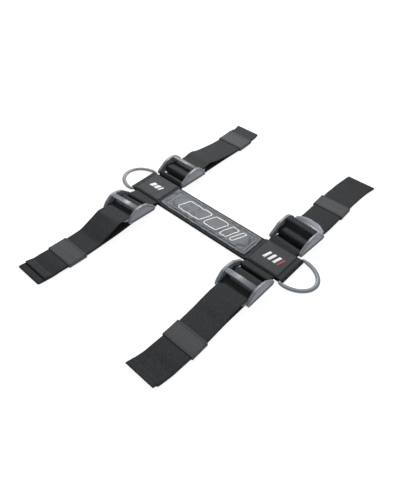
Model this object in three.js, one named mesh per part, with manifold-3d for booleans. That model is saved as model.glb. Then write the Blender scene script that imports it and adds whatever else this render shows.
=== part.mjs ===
// Four-arm webbing harness: a padded centre bar with a D-ring at each end, and at each
// end of the bar two adjustable webbing loops, each with a four-bar buckle and a keeper.
//
// Millimetres, +Z up. The origin is the middle of the bar's underside, which lies on z = 0.
// +X runs along the bar to the right-hand D-ring. +Y runs towards the two rear arms.
// Side profiles are drawn as (distance outward, height) and extruded across the webbing.

import * as THREE from 'three';
import { mergeVertices } from 'three/addons/utils/BufferGeometryUtils.js';
import Module from 'manifold-3d';

// ---- driving dimensions ----------------------------------------------------------------

const GAP = 0.3; // running gap between layers that lie on each other
const WEB_T = 1.3; // webbing thickness
const WEB_W = 50; // webbing width of the arms
const LAYER = WEB_T + GAP; // one layer to the next

const BAR_W = 53; // width of the centre bar's webbing
const JUNCTION_X = 121; // bar centre to the centreline of the arms
const LOW_Z = WEB_T / 2; // centreline height of a layer that lies on the floor

const FOAM = { length: 178, width: 48, thickness: 1.9 };
const COVER = { length: 176.6, width: 46.3, thickness: 1.6, corner: 4 };
const LABEL = { length: 53, width: 49, thickness: 0.7, centreX: 124, corner: 2 };

const D_RING = {
  rod: 2.3, // rod radius at the bar, and half of its height all round
  bow: 2.9, // half of the rod's width in the bow, which is moulded flatter
  barX: 157.5, // straight bar from the origin
  halfBar: 27.1, // half of the straight stretch
  corner: 2.6, // bend radius between the bar and the bow
  depth: 41.7, // bar to the crown of the bow, at the rod's centre
  droop: 2.1, // degrees that the bow leans down to the floor
};

// Measured from the fixed bar, outward and up.
const BUCKLE = {
  fixed: 2.2, // radius of the bar that the anchor strap holds, which is the arm's hinge
  grip: { s: 15.5, z: 3.7, r: 2.6 }, // bar that the webbing turns over
  bridge: { s: 34.5, z: 14.3, width: 9, thickness: 3.6, lean: 8 }, // flat bar on top of the arch
  tab: { from: 47, side: 59, crown: 67.5, low: -0.3, thickness: 2.4 }, // release tab
  inner: 52.4, // clear width between the side plates
  wall: 5.2, // side plate thickness
  plate: [
    [-4, -5, 4], [54.5, -5, 2.5], [54.5, -0.7, 2], [50, 7.3, 10],
    [40, 15.9, 10], [29, 17.7, 18], [15, 15.3, 14], [-4, 2.5, 4.5],
  ], // side plate's corners and their radii
};

const KEEPER = { wall: 1.1, side: 1.2, gap: 0.3 };

// seat: the fixed bar's place outward and up, and the degrees that the buckle leans back and
// turns in plan. shift: sideways wander of the arm at its keeper and at its far end.
// keeperTravel: how far the keeper slides inward and outward.
const ARMS = [
  {
    name: 'front_left', side: -1, facing: -1, underTab: false,
    seat: { s: 43, z: 5.7, tilt: 8, yaw: 4 },
    keeper: 181.5, keeperLength: 31, keeperTravel: [-20, 9],
    end: 262.5, tail: 250.5, shift: [6.3, -0.5],
  },
  {
    name: 'front_right', side: 1, facing: -1, underTab: false,
    seat: { s: 37.5, z: 5.7, tilt: 0, yaw: 0 },
    keeper: 172.5, keeperLength: 29, keeperTravel: [-24, 14],
    end: 256, tail: 261, shift: [2.8, -1.5],
  },
  {
    name: 'rear_left', side: -1, facing: 1, underTab: false,
    seat: { s: 32, z: 10.5, tilt: -2, yaw: 0 },
    keeper: 187, keeperLength: 35, keeperTravel: [-14, 3],
    end: 252, tail: 229, shift: [2.6, -3.6],
  },
  {
    name: 'rear_right', side: 1, facing: 1, underTab: true,
    seat: { s: 38.5, z: 5.7, tilt: 3, yaw: -4 },
    keeper: 147, keeperLength: 27.5, keeperTravel: [-8, 10],
    end: 254.5, tail: 171, shift: [4.6, 8.0],
  },
];

const BUCKLE_END = 106; // past this no arm touches its buckle, and it may wander sideways
const TURN_START = 12; // a turned buckle skews its webbing from here out
const FOLD_R = 1.35; // centreline radius of the fold at an arm's far end
const ARC_STEP = Math.PI / 10;
const STRAIGHT_STEP = 13;
const TOUCHING = 1e-6; // points this close count as one

// ---- materials -------------------------------------------------------------------------

const material = (color, roughness) => new THREE.MeshStandardMaterial({ color, roughness, metalness: 0 });
const WEBBING = () => material(0x1b1c1f, 0.85);
const ELASTIC = () => material(0x3a3b3f, 0.9);
const PLASTIC = () => material(0x5f656d, 0.45);
const LEATHER = () => material(0x3b4048, 0.6);
const FOAM_BLACK = () => material(0x141414, 0.95);

// ---- manifold helpers ------------------------------------------------------------------

const wasm = await Module();
wasm.setup();

function toSolid(geometry) {
  const bare = geometry.index ? geometry.toNonIndexed() : geometry.clone();
  bare.deleteAttribute('normal');
  bare.deleteAttribute('uv');
  const merged = mergeVertices(bare, 1e-4);
  return new wasm.Manifold(new wasm.Mesh({
    numProp: 3,
    vertProperties: new Float32Array(merged.attributes.position.array),
    triVerts: new Uint32Array(merged.index.array),
  }));
}

function toGeometry(solid) {
  const mesh = solid.getMesh();
  const geometry = new THREE.BufferGeometry();
  geometry.setAttribute('position', new THREE.BufferAttribute(mesh.vertProperties, 3));
  geometry.setIndex(new THREE.BufferAttribute(mesh.triVerts, 1));
  return geometry;
}

// ---- outlines --------------------------------------------------------------------------

// Points along straight runs joined by arcs. Each corner is [s, z, radius].
function rounded(corners, closed) {
  const points = [];
  const count = corners.length;
  corners.forEach(([s, z, radius], i) => {
    const corner = new THREE.Vector2(s, z);
    if (!closed && (i === 0 || i === count - 1)) {
      points.push(corner);
      return;
    }
    const [ps, pz] = corners[(i + count - 1) % count];
    const [ns, nz] = corners[(i + 1) % count];
    const back = new THREE.Vector2(ps - s, pz - z).normalize();
    const ahead = new THREE.Vector2(ns - s, nz - z).normalize();
    const turn = Math.PI - Math.acos(THREE.MathUtils.clamp(back.dot(ahead), -1, 1));
    const reach = radius * Math.tan(turn / 2);
    const centre = back.clone().add(ahead).normalize();
    centre.multiplyScalar(radius / Math.cos(turn / 2)).add(corner);
    const first = corner.clone().addScaledVector(back, reach).sub(centre);
    const sign = Math.sign(back.y * ahead.x - back.x * ahead.y);
    const steps = Math.max(1, Math.ceil(turn / ARC_STEP));
    for (let k = 0; k <= steps; k += 1) {
      points.push(first.clone().rotateAround(new THREE.Vector2(), (sign * turn * k) / steps).add(centre));
    }
  });
  return points.filter((point, i) => i === 0 || point.distanceTo(points[i - 1]) > TOUCHING);
}

// Splits long straight runs, so that a run can follow a bend in plan or in height.
function divided(points) {
  const result = [points[0]];
  for (let i = 1; i < points.length; i += 1) {
    const from = points[i - 1];
    const pieces = Math.max(1, Math.round(from.distanceTo(points[i]) / STRAIGHT_STEP));
    for (let k = 1; k <= pieces; k += 1) {
      result.push(from.clone().lerp(points[i], k / pieces));
    }
  }
  return result;
}

// The two edges of a band of the given thickness about a centreline.
function edges(points, thickness, closed) {
  const count = points.length;
  const upper = [];
  const lower = [];
  points.forEach((point, i) => {
    const before = closed ? points[(i + count - 1) % count] : points[Math.max(i - 1, 0)];
    const after = closed ? points[(i + 1) % count] : points[Math.min(i + 1, count - 1)];
    const into = point.clone().sub(before).normalize();
    const out = after.clone().sub(point).normalize();
    const along = into.clone().add(out).normalize();
    const normal = new THREE.Vector2(-along.y, along.x);
    const first = into.lengthSq() > 0 ? into : out;
    const stretch = 1 / Math.max(0.5, along.dot(first));
    upper.push(point.clone().addScaledVector(normal, (thickness / 2) * stretch));
    lower.push(point.clone().addScaledVector(normal, (-thickness / 2) * stretch));
  });
  return [upper, lower];
}

function closedBand(points, thickness) {
  const [a, b] = edges(points, thickness, true);
  const outerFirst = Math.abs(THREE.ShapeUtils.area(a)) > Math.abs(THREE.ShapeUtils.area(b));
  const shape = new THREE.Shape(outerFirst ? a : b);
  shape.holes.push(new THREE.Path(outerFirst ? b : a));
  return shape;
}

function roundedRectangle(width, height, radius) {
  const w = width / 2;
  const h = height / 2;
  return new THREE.Shape(rounded([[-w, -h, radius], [w, -h, radius], [w, h, radius], [-w, h, radius]], true));
}

// ---- extrusions ------------------------------------------------------------------------

function extrude(shape, depth) {
  const geometry = new THREE.ExtrudeGeometry(shape, { depth, bevelEnabled: false, steps: 1 });
  return geometry.translate(0, 0, -depth / 2);
}

// A profile in (outward, height) extruded across the width: outward becomes +Y, across is X.
function acrossX(shape, width) {
  const turn = new THREE.Matrix4().makeBasis(
    new THREE.Vector3(0, 1, 0),
    new THREE.Vector3(0, 0, 1),
    new THREE.Vector3(1, 0, 0),
  );
  return extrude(shape, width).applyMatrix4(turn);
}

// A profile in (X, height) extruded across Y.
function acrossY(shape, width) {
  return extrude(shape, width).rotateX(Math.PI / 2);
}

// An open band along a centreline in (outward, height): a box whose cross-sections are moved to
// the centreline's points, so that its side edges can be bent in plan as well.
function ribbon(points, thickness, width) {
  const [upper, lower] = edges(points, thickness, false);
  const last = points.length - 1;
  const geometry = new THREE.BoxGeometry(width, 1, 1, 1, 1, last);
  const position = geometry.attributes.position;
  for (let i = 0; i < position.count; i += 1) {
    const station = Math.round((position.getZ(i) + 0.5) * last);
    const { x: out, y: height } = position.getY(i) > 0 ? lower[station] : upper[station];
    position.setXYZ(i, position.getX(i), out, height);
  }
  return geometry;
}

// A flat sheet piece: an outline in plan, standing on the given height.
function plate(shape, low, thickness) {
  return extrude(shape, thickness).translate(0, 0, low + thickness / 2);
}

// Bends a geometry in plan: course(s) gives the sideways shift and the skew at a distance s.
function bent(geometry, course) {
  const position = geometry.attributes.position;
  for (let i = 0; i < position.count; i += 1) {
    const across = position.getX(i);
    const out = position.getY(i);
    const { shift, skew } = course(out);
    position.setXY(i, across + shift, out + across * skew);
  }
  return geometry;
}

// ---- centre bar ------------------------------------------------------------------------

const LOOP_R = D_RING.rod + GAP + WEB_T / 2; // centreline radius of the fold around a D-ring
const JUNCTION_Z = LOW_Z + 2 * LOOP_R; // top run of the bar over a junction
const FOAM_LOW = WEB_T + GAP;
const MIDDLE_Z = FOAM_LOW + FOAM.thickness + GAP + WEB_T / 2; // top run over the foam
const RAMP = { foot: 89.4, head: 94.4 }; // where the top run climbs from foam to junction

// One band runs along the floor, round both D-ring bars and back over the foam.
function centreStrap() {
  const end = D_RING.barX + LOOP_R;
  const half = [
    [end, LOW_Z, LOOP_R],
    [end, JUNCTION_Z, LOOP_R],
    [RAMP.head, JUNCTION_Z, 3],
    [RAMP.foot, MIDDLE_Z, 3],
  ];
  const mirrored = half.map(([x, z, r]) => [-x, z, r]).reverse();
  return acrossY(closedBand(rounded([...half, ...mirrored], true), WEB_T), BAR_W);
}

function foamPad() {
  return plate(roundedRectangle(FOAM.length, FOAM.width, 3), FOAM_LOW, FOAM.thickness);
}

function padCover() {
  const low = MIDDLE_Z + WEB_T / 2 + GAP;
  return plate(roundedRectangle(COVER.length, COVER.width, COVER.corner), low, COVER.thickness);
}

function label(side) {
  const low = JUNCTION_Z + WEB_T / 2 + GAP;
  const sheet = plate(roundedRectangle(LABEL.length, LABEL.width, LABEL.corner), low, LABEL.thickness);
  return sheet.translate(side * LABEL.centreX, 0, 0);
}

// The rod's centreline in plan, as [point, tangent] pairs round the bar, the corners and the bow.
function ringStations() {
  const { halfBar, corner, depth } = D_RING;
  const quarter = Math.PI / 2;
  const runs = [
    [new THREE.LineCurve(new THREE.Vector2(0, halfBar), new THREE.Vector2(0, -halfBar)), 2],
    [new THREE.EllipseCurve(corner, -halfBar, corner, corner, 2 * quarter, 3 * quarter), 3],
    [new THREE.EllipseCurve(corner, 0, depth - corner, halfBar + corner, -quarter, quarter), 26],
    [new THREE.EllipseCurve(corner, halfBar, corner, corner, quarter, 2 * quarter), 3],
  ];
  return runs.flatMap(([curve, count]) => Array.from({ length: count }, (unused, k) => [
    curve.getPoint(k / count),
    curve.getTangent(k / count),
  ]));
}

// A rod bent to a D: a torus whose rings are moved to the stations of the D's centreline.
function dRing(side) {
  const { rod, bow, droop, barX } = D_RING;
  const stations = ringStations();
  const around = 8;
  const along = stations.length;
  const ring = new THREE.TorusGeometry(1, 0.1, around, along);
  const position = ring.attributes.position;
  for (let j = 0; j <= around; j += 1) {
    const angle = ((j % around) / around) * 2 * Math.PI;
    const up = rod * Math.sin(angle);
    for (let i = 0; i <= along; i += 1) {
      const [point, tangent] = stations[i % along];
      const out = (point.x > D_RING.corner ? bow : rod) * Math.cos(angle);
      position.setXYZ(j * (along + 1) + i, point.x + tangent.y * out, point.y - tangent.x * out, up);
    }
  }
  ring.rotateY(THREE.MathUtils.degToRad(droop));
  if (side < 0) ring.rotateZ(Math.PI);
  return ring.translate(side * barX, 0, LOW_Z + LOOP_R);
}

// ---- junctions -------------------------------------------------------------------------

const SIDE_Z = LOW_Z + LAYER; // side strap over the bar's lower run
const ANCHOR_LOW_Z = SIDE_Z + LAYER;
const ANCHOR_HIGH_Z = ANCHOR_LOW_Z + LAYER;
const CLEAR_S = BAR_W / 2 + 1; // past this the layers leave the bar

// The anchor strap's corners from the lower run, round one fixed bar and back to the upper run.
function anchorHalf(arm) {
  const bar = new THREE.Vector2(arm.seat.s, arm.seat.z);
  const from = new THREE.Vector2(CLEAR_S, (ANCHOR_LOW_Z + ANCHOR_HIGH_Z) / 2);
  const loop = BUCKLE.fixed + GAP + WEB_T / 2;
  const out = bar.clone().sub(from).normalize().multiplyScalar(loop);
  const up = new THREE.Vector2(-out.y, out.x);
  const corner = (alongOut, alongUp, radius) => {
    const point = bar.clone().addScaledVector(out, alongOut).addScaledVector(up, alongUp);
    return [point.x, point.y, radius];
  };
  return [
    [CLEAR_S, ANCHOR_LOW_Z, 1.5],
    corner(-1, -1, 1.5),
    corner(1, -1, loop),
    corner(1, 1, loop),
    corner(-1, 1, 1.5),
    [CLEAR_S, ANCHOR_HIGH_Z, 1.5],
  ];
}

// A closed band round the fixed bars of both buckles, sewn under the bar's top run.
function anchorStrap(front, rear) {
  const mirrored = anchorHalf(front).map(([x, y, radius]) => [-x, y, radius]).reverse();
  const profile = rounded([...anchorHalf(rear), ...mirrored], true);
  return bent(acrossX(closedBand(profile, WEB_T), WEB_W), courseBetween(front, rear));
}

// The middle of the side webbing, sewn under the anchor strap. The arms carry it on.
function sideStrap(front, rear) {
  const half = (arm) => {
    const end = arm.seat.s - GAP;
    return [[CLEAR_S, SIDE_Z, 2.5], [Math.min(CLEAR_S + 6, end - 1), LOW_Z, 2.5], [end, LOW_Z, 0]];
  };
  const mirrored = half(front).map(([x, z, r]) => [-x, z, r]).reverse();
  const line = divided(rounded([...mirrored, ...half(rear)], false));
  return bent(ribbon(line, WEB_T, WEB_W), courseBetween(front, rear));
}

// ---- buckle ----------------------------------------------------------------------------

function tabOutline() {
  const { from, side, crown } = BUCKLE.tab;
  const half = BUCKLE.inner / 2 + 0.5;
  return new THREE.Shape(rounded([
    [-half, from, 0.4],
    [half, from, 0.4],
    [half, side, 3],
    [half * 0.45, crown, 22],
    [-half * 0.45, crown, 22],
    [-half, side, 3],
  ], true));
}

function buckle() {
  const { fixed, grip, bridge, tab, inner, wall } = BUCKLE;
  const span = inner + wall; // bars end inside the side plates
  const rod = (r) => new THREE.CylinderGeometry(r, r, span, 14).rotateZ(Math.PI / 2);
  const arch = acrossX(roundedRectangle(bridge.width, bridge.thickness, 1), span);
  arch.rotateX(THREE.MathUtils.degToRad(-bridge.lean)).translate(0, bridge.s, bridge.z);
  const side = new THREE.Shape(rounded(BUCKLE.plate, true));
  const walls = [-1, 1].map((x) => acrossX(side, wall).translate((x * (inner + wall)) / 2, 0, 0));
  const bars = [
    rod(fixed),
    rod(grip.r).translate(0, grip.s, grip.z),
    arch,
    plate(tabOutline(), tab.low, tab.thickness),
  ];
  return toGeometry([...walls, ...bars].map(toSolid).reduce((whole, piece) => whole.add(piece)));
}

// ---- arm webbing and keeper ------------------------------------------------------------

const smooth = (x, from, to) => THREE.MathUtils.smoothstep(x, from, to);

// The keeper's lower wall lifts the webbing off the floor over the stretch that it slides on.
function riseOf(arm) {
  const lift = KEEPER.wall + KEEPER.gap;
  const from = arm.keeper + arm.keeperTravel[0] - 3;
  const to = arm.keeper + arm.keeperLength + arm.keeperTravel[1] + 3;
  const last = Math.min(to + 16, arm.end - 4);
  return (s) => lift * (smooth(s, BUCKLE_END, from) - smooth(s, to, last));
}

// The arm's course in plan: in line with its turned buckle, then a cubic through both shifts.
function courseOf(arm) {
  const turn = THREE.MathUtils.degToRad(arm.seat.yaw);
  const slope = -Math.sin(turn);
  const atEnd = slope * (BUCKLE_END - arm.seat.s);
  const mid = arm.keeper + arm.keeperLength / 2 - BUCKLE_END;
  const far = arm.end - BUCKLE_END;
  const needed = (t, shift) => (arm.facing * shift - atEnd - slope * t) / t ** 2;
  const cubic = (needed(far, arm.shift[1]) - needed(mid, arm.shift[0])) / (far - mid);
  const square = needed(mid, arm.shift[0]) - cubic * mid;
  return (s) => {
    const t = Math.max(0, s - BUCKLE_END);
    const turned = smooth(s, TURN_START, arm.seat.s - 6) * (1 - smooth(s, BUCKLE_END, BUCKLE_END + 30));
    return {
      shift: slope * Math.max(0, s - arm.seat.s) + t * t * (square + cubic * t),
      skew: Math.sin(turn) * turned,
    };
  };
}

// A junction's course: the rear arm's on its side of the bar, the front arm's on the other.
function courseBetween(front, rear) {
  const [ahead, behind] = [courseOf(front), courseOf(rear)];
  return (s) => (s > 0 ? behind(s) : { shift: 0, skew: ahead(-s).skew });
}

// From under the fixed bar out to the far fold, back to the grip bar, over it and out as the tail.
function armRoute(arm) {
  const { grip, bridge, tab } = BUCKLE;
  const half = WEB_T / 2;
  const seat = new THREE.Vector2(arm.seat.s, arm.seat.z);
  const angle = THREE.MathUtils.degToRad(arm.seat.tilt);
  const onBuckle = (s, z, radius) => {
    const point = new THREE.Vector2(s, z).rotateAround(new THREE.Vector2(), angle).add(seat);
    return [point.x, point.y, radius];
  };
  const wrap = grip.r + GAP + half;
  const back = LOW_Z + LAYER; // return run
  const top = back + LAYER; // tail
  const foldTop = LOW_Z + 2 * FOLD_R;
  const tabTop = tab.low + tab.thickness + GAP + half;
  const turn = onBuckle(grip.s - wrap, grip.z + wrap + (arm.underTab ? 0 : 0.5), wrap);
  const out = [
    [arm.seat.s, LOW_Z, 0],
    [arm.end - half, LOW_Z, FOLD_R],
    [arm.end - half, foldTop, FOLD_R],
    [arm.end - 9, foldTop, 8],
    [arm.end - 16, back, 8],
    [turn[0], back, 3],
    turn,
  ];
  const from = arm.keeper + arm.keeperTravel[0] - 3;
  const tailZ = arm.tail > arm.end - 16 ? foldTop + LAYER + 0.1 : top;
  const end = [[Math.min(arm.end - 20, arm.tail - 8), top, 10], [arm.tail, tailZ, 0]];
  if (arm.underTab) {
    const over = bridge.z + bridge.thickness / 2 + GAP + half;
    const reach = bridge.width / 2 + 1;
    return [
      ...out,
      onBuckle(grip.s + 4, grip.z + wrap, 3),
      onBuckle(bridge.s - reach - 4, grip.z + wrap - 1, 3),
      onBuckle(bridge.s - reach, over + 0.7, 2),
      onBuckle(bridge.s + reach, over - 0.5, 2),
      [seat.x + tab.from - 3.5, top + 0.6, 2.5],
      [seat.x + tab.crown + 8, top + 0.3, 20],
      [from - 8, top, 20],
      ...end,
    ];
  }
  return [
    ...out,
    onBuckle(tab.from + 1, tabTop, 20),
    onBuckle(tab.crown + 3, tabTop + 0.3, 12),
    [from - 4, top, 24],
    ...end,
  ];
}

function armStrap(arm) {
  const rise = riseOf(arm);
  const points = divided(rounded(armRoute(arm), false));
  points.forEach((point) => {
    point.y += rise(point.x);
  });
  return bent(ribbon(points, WEB_T, WEB_W), courseOf(arm));
}

function keeper(arm) {
  const { wall, side, gap } = KEEPER;
  const inside = 3 * WEB_T + 2 * GAP + 2 * gap;
  const width = WEB_W + 2 * (side + wall);
  const height = inside + 2 * wall;
  const outline = roundedRectangle(width, height, 2.4);
  outline.holes.push(new THREE.Path(roundedRectangle(width - 2 * wall, inside, 1.3).getPoints()));
  const band = extrude(outline, arm.keeperLength).rotateX(Math.PI / 2);
  band.translate(0, arm.keeper + arm.keeperLength / 2, height / 2);
  return bent(band, courseOf(arm));
}

// ---- assembly --------------------------------------------------------------------------

const harness = new THREE.Group();

function add(parent, name, geometry, finish) {
  const mesh = new THREE.Mesh(geometry, finish);
  mesh.name = name;
  parent.add(mesh);
  return mesh;
}

add(harness, 'centre_strap', centreStrap(), WEBBING());
add(harness, 'foam_pad', foamPad(), FOAM_BLACK());
add(harness, 'pad_cover', padCover(), LEATHER());

for (const [name, side] of [['left', -1], ['right', 1]]) {
  const [front, rear] = ARMS.filter((arm) => arm.side === side);
  const junction = new THREE.Group();
  junction.position.x = side * JUNCTION_X;
  harness.add(junction);
  add(harness, `label_${name}`, label(side), WEBBING());
  add(harness, `d_ring_${name}`, dRing(side), PLASTIC());
  add(junction, `anchor_strap_${name}`, anchorStrap(front, rear), WEBBING());
  add(junction, `side_strap_${name}`, sideStrap(front, rear), WEBBING());
}

for (const arm of ARMS) {
  const group = new THREE.Group();
  group.position.x = arm.side * JUNCTION_X;
  group.rotation.z = arm.facing > 0 ? 0 : Math.PI;
  harness.add(group);
  const seat = new THREE.Group();
  seat.position.set(0, arm.seat.s, arm.seat.z);
  seat.rotation.set(THREE.MathUtils.degToRad(arm.seat.tilt), 0, THREE.MathUtils.degToRad(arm.seat.yaw), 'ZYX');
  group.add(seat);
  add(seat, `buckle_${arm.name}`, buckle(), PLASTIC());
  add(group, `arm_strap_${arm.name}`, armStrap(arm), WEBBING());
  add(group, `keeper_${arm.name}`, keeper(arm), ELASTIC());
}

export default harness;
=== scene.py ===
"""A four-arm webbing harness with quick-adjust buckles, lying on a white floor.

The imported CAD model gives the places, bodies and joints. Each CAD solid is replaced by a
finely built piece: webbing lofted along its own threading, moulded buckles and rings,
ribbed elastic, a simulated padded cover, and sewing.
Lengths in the tables are millimetres; MM turns them into metres when a mesh is made.
"""

import math
import random

import bmesh
import bpy
from mathutils import Matrix, Vector
from mathutils.bvhtree import BVHTree


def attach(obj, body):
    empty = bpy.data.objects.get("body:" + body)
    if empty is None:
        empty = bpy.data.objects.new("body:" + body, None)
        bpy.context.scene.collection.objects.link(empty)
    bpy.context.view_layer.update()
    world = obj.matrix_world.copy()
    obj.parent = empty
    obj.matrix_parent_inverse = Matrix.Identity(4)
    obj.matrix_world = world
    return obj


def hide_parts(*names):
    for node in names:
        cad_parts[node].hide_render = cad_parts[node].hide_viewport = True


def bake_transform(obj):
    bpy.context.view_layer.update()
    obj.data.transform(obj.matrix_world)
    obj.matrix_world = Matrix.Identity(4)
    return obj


MM = 0.001
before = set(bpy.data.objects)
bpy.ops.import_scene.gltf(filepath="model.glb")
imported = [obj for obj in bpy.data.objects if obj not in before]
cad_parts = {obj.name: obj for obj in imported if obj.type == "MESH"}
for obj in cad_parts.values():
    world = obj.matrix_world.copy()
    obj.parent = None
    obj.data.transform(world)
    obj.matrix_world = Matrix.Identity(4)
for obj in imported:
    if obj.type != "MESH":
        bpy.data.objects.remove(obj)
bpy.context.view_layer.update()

# ---- dimensions, repeated from the design ----

GAP = 0.3
WEB_T = 1.3
WEB_W = 50.0
ANCHOR_W = 51.6
LAYER = WEB_T + GAP
BAR_W = 53.0
JUNCTION_X = 121.0
LOW_Z = WEB_T / 2

FOAM = dict(length=178.0, width=48.0, thickness=1.9)
COVER = dict(length=176.6, width=46.3, thickness=1.6, corner=4.0)
LABEL = dict(length=53.0, width=49.0, thickness=0.7, centre=124.0)
RING = dict(rod=2.3, bow=3.4, bar=157.5, half_bar=27.1, corner=2.6, depth=41.7, droop=2.1)
LOOP_R = RING["rod"] + GAP + WEB_T / 2
JUNCTION_Z = LOW_Z + 2 * LOOP_R
FOAM_LOW = WEB_T + GAP
MIDDLE_Z = FOAM_LOW + FOAM["thickness"] + GAP + WEB_T / 2
RAMP_FOOT, RAMP_HEAD = 89.4, 94.4
COVER_LOW = MIDDLE_Z + WEB_T / 2 + GAP
COVER_TOP = COVER_LOW + COVER["thickness"]
LABEL_LOW = JUNCTION_Z + WEB_T / 2 + GAP
LABEL_TOP = LABEL_LOW + LABEL["thickness"]
SIDE_Z = LOW_Z + LAYER
ANCHOR_LOW_Z = SIDE_Z + LAYER
ANCHOR_HIGH_Z = ANCHOR_LOW_Z + LAYER
CLEAR_S = BAR_W / 2 + 1

# The buckle, measured from its fixed bar outward and up.
FIXED_R = 2.2
GRIP = dict(s=15.5, z=3.7, r=2.6)
BRIDGE = dict(s=34.5, z=14.5, width=8.4, thickness=3.6, lean=8)
TAB = dict(start=47.0, side=59.0, crown=67.5, low=-0.3, thickness=2.4)
INNER = 52.4
WALL = 5.2
PLATE = [
    (-4, -5, 4), (54.5, -5, 2.5), (54.5, -0.7, 2), (50, 7.3, 10),
    (40, 15.9, 10), (29, 17.7, 18), (15, 15.3, 14), (-4, 2.5, 4.5),
]
KEEPER_WALL, KEEPER_SIDE, KEEPER_GAP = 1.1, 1.2, 0.3
KEEPER_CLEAR = 3.0
FOLD_R = 1.35
BUCKLE_END = 106.0
TURN_START = 12.0

# Sewing, the turned-back tail ends and the side straps.
SEAM_INSET = 4.6
LABEL_SEAM = 3.2
STITCH_R = 0.34
SIDE_HALF = 13.4
HEM = dict(depth=11.0, turn=0.62, thickness=1.0, trim=0.5, half=22.5, rows=(2.4, 8.6))
FOLD_TACKS = dict(rows=(151.9, 153.4, 154.9, 156.4), half=24.5)

# The leaning bars drawn on the cover: centre, length and corner radius of each outline.
MOTIF = dict(height=25, lean=5, line=1.7, bars=[(-34, 50, 4), (12, 28, 4), (40, 14, 3), (57.5, 7, 2)])
# The woven bars on the labels: offset, width and thread of each.
LABEL_BARS = {
    "left": dict(height=10, bars=[(-9, 7.5, "pale"), (1, 7.5, "pale"), (9, 4, "pale")]),
    "right": dict(
        height=15, bars=[(-10, 5, "pale"), (-1, 5, "pale"), (8, 5, "pale"), (15.5, 2.6, "accent")]
    ),
}

# seat: the fixed bar's place outward and up. tilt, yaw: how the buckle leans and turns on it.
# hump: how far the free tail bulges up past its buckle.
ARMS = {
    "front_left": dict(
        side=-1, facing=-1, seat=(43.0, 5.7), tilt=8, yaw=4, under_tab=False,
        keeper=181.5, keeper_length=31, travel=(-20, 9), end=262.5, tail=250.5, shift=(6.3, -0.5), hump=0,
    ),
    "front_right": dict(
        side=1, facing=-1, seat=(37.5, 5.7), tilt=0, yaw=0, under_tab=False,
        keeper=172.5, keeper_length=29, travel=(-24, 14), end=256.0, tail=261.0, shift=(2.8, -1.5), hump=0,
    ),
    "rear_left": dict(
        side=-1, facing=1, seat=(32.0, 10.5), tilt=-2, yaw=0, under_tab=False,
        keeper=187.0, keeper_length=35, travel=(-14, 3), end=252.0, tail=229.0, shift=(2.6, -3.6), hump=3.4,
    ),
    "rear_right": dict(
        side=1, facing=1, seat=(38.5, 5.7), tilt=3, yaw=-4, under_tab=True,
        keeper=147.0, keeper_length=27.5, travel=(-8, 10), end=254.5, tail=171.0, shift=(4.6, 8.0), hump=0,
    ),
}

# ---- camera and light ----

CAMERA = dict(
    sensor=36.0, lens=33.3792, yaw=43.35, pitch=46.6, roll=-0.77, target=(28.1, -55.2), distance=710.7
)


def make_camera():
    yaw, pitch, roll = (math.radians(CAMERA[k]) for k in ("yaw", "pitch", "roll"))
    back = Vector(
        (math.sin(yaw) * math.cos(pitch), -math.cos(yaw) * math.cos(pitch), math.sin(pitch))
    )
    right = Vector((math.cos(yaw), math.sin(yaw), 0))
    up = back.cross(right)
    turned_right = right * math.cos(roll) + up * math.sin(roll)
    turned_up = up * math.cos(roll) - right * math.sin(roll)
    x, y = CAMERA["target"]
    place = Vector((x, y, 0)) + back * CAMERA["distance"]
    data = bpy.data.cameras.new("camera")
    data.sensor_width = CAMERA["sensor"]
    data.lens = CAMERA["lens"]
    data.clip_start = 0.01
    camera = bpy.data.objects.new("camera", data)
    bpy.context.scene.collection.objects.link(camera)
    rotation = Matrix((turned_right, turned_up, back)).transposed()
    camera.matrix_world = Matrix.Translation(place * MM) @ rotation.to_4x4()
    bpy.context.scene.camera = camera


def set_inputs(node, values):
    for name, value in values.items():
        node.inputs[name].default_value = value


def area_light(name, place, target, size, power):
    data = bpy.data.lights.new(name, "AREA")
    data.shape = "RECTANGLE"
    data.size, data.size_y = size
    data.energy = power
    light = bpy.data.objects.new(name, data)
    bpy.context.scene.collection.objects.link(light)
    light.location = place
    aim = Vector(target) - Vector(place)
    light.rotation_euler = aim.to_track_quat("-Z", "Y").to_euler()


def make_stage():
    scene = bpy.context.scene
    scene.view_settings.view_transform = "Standard"
    scene.view_settings.look = "None"
    world = bpy.data.worlds.new("studio")
    scene.world = world
    world.use_nodes = True
    set_inputs(world.node_tree.nodes["Background"], {"Color": (1, 1, 1, 1), "Strength": 0.34})
    area_light("key", (-0.7, 0.75, 1.1), (-0.05, 0, 0), (0.3, 0.2), 24)
    area_light("fill", (0.9, -0.5, 1.0), (0, 0, 0), (1.2, 1.0), 2.5)
    mesh = bpy.data.meshes.new("floor")
    half = 30.0
    corners = [(-half, -half, 0), (half, -half, 0), (half, half, 0), (-half, half, 0)]
    mesh.from_pydata(corners, [], [(0, 1, 2, 3)])
    floor = bpy.data.objects.new("floor", mesh)
    scene.collection.objects.link(floor)
    finish = bpy.data.materials.new("floor")
    finish.use_nodes = True
    shader = finish.node_tree.nodes["Principled BSDF"]
    set_inputs(shader, {"Base Color": (0.3, 0.3, 0.3, 1), "Roughness": 0.9, "Specular IOR Level": 0.1})
    set_inputs(shader, {"Emission Color": (1, 1, 1, 1), "Emission Strength": 0.87})
    mesh.materials.append(finish)
    floor.location.z = -0.0002


# ---- materials ----


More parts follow.
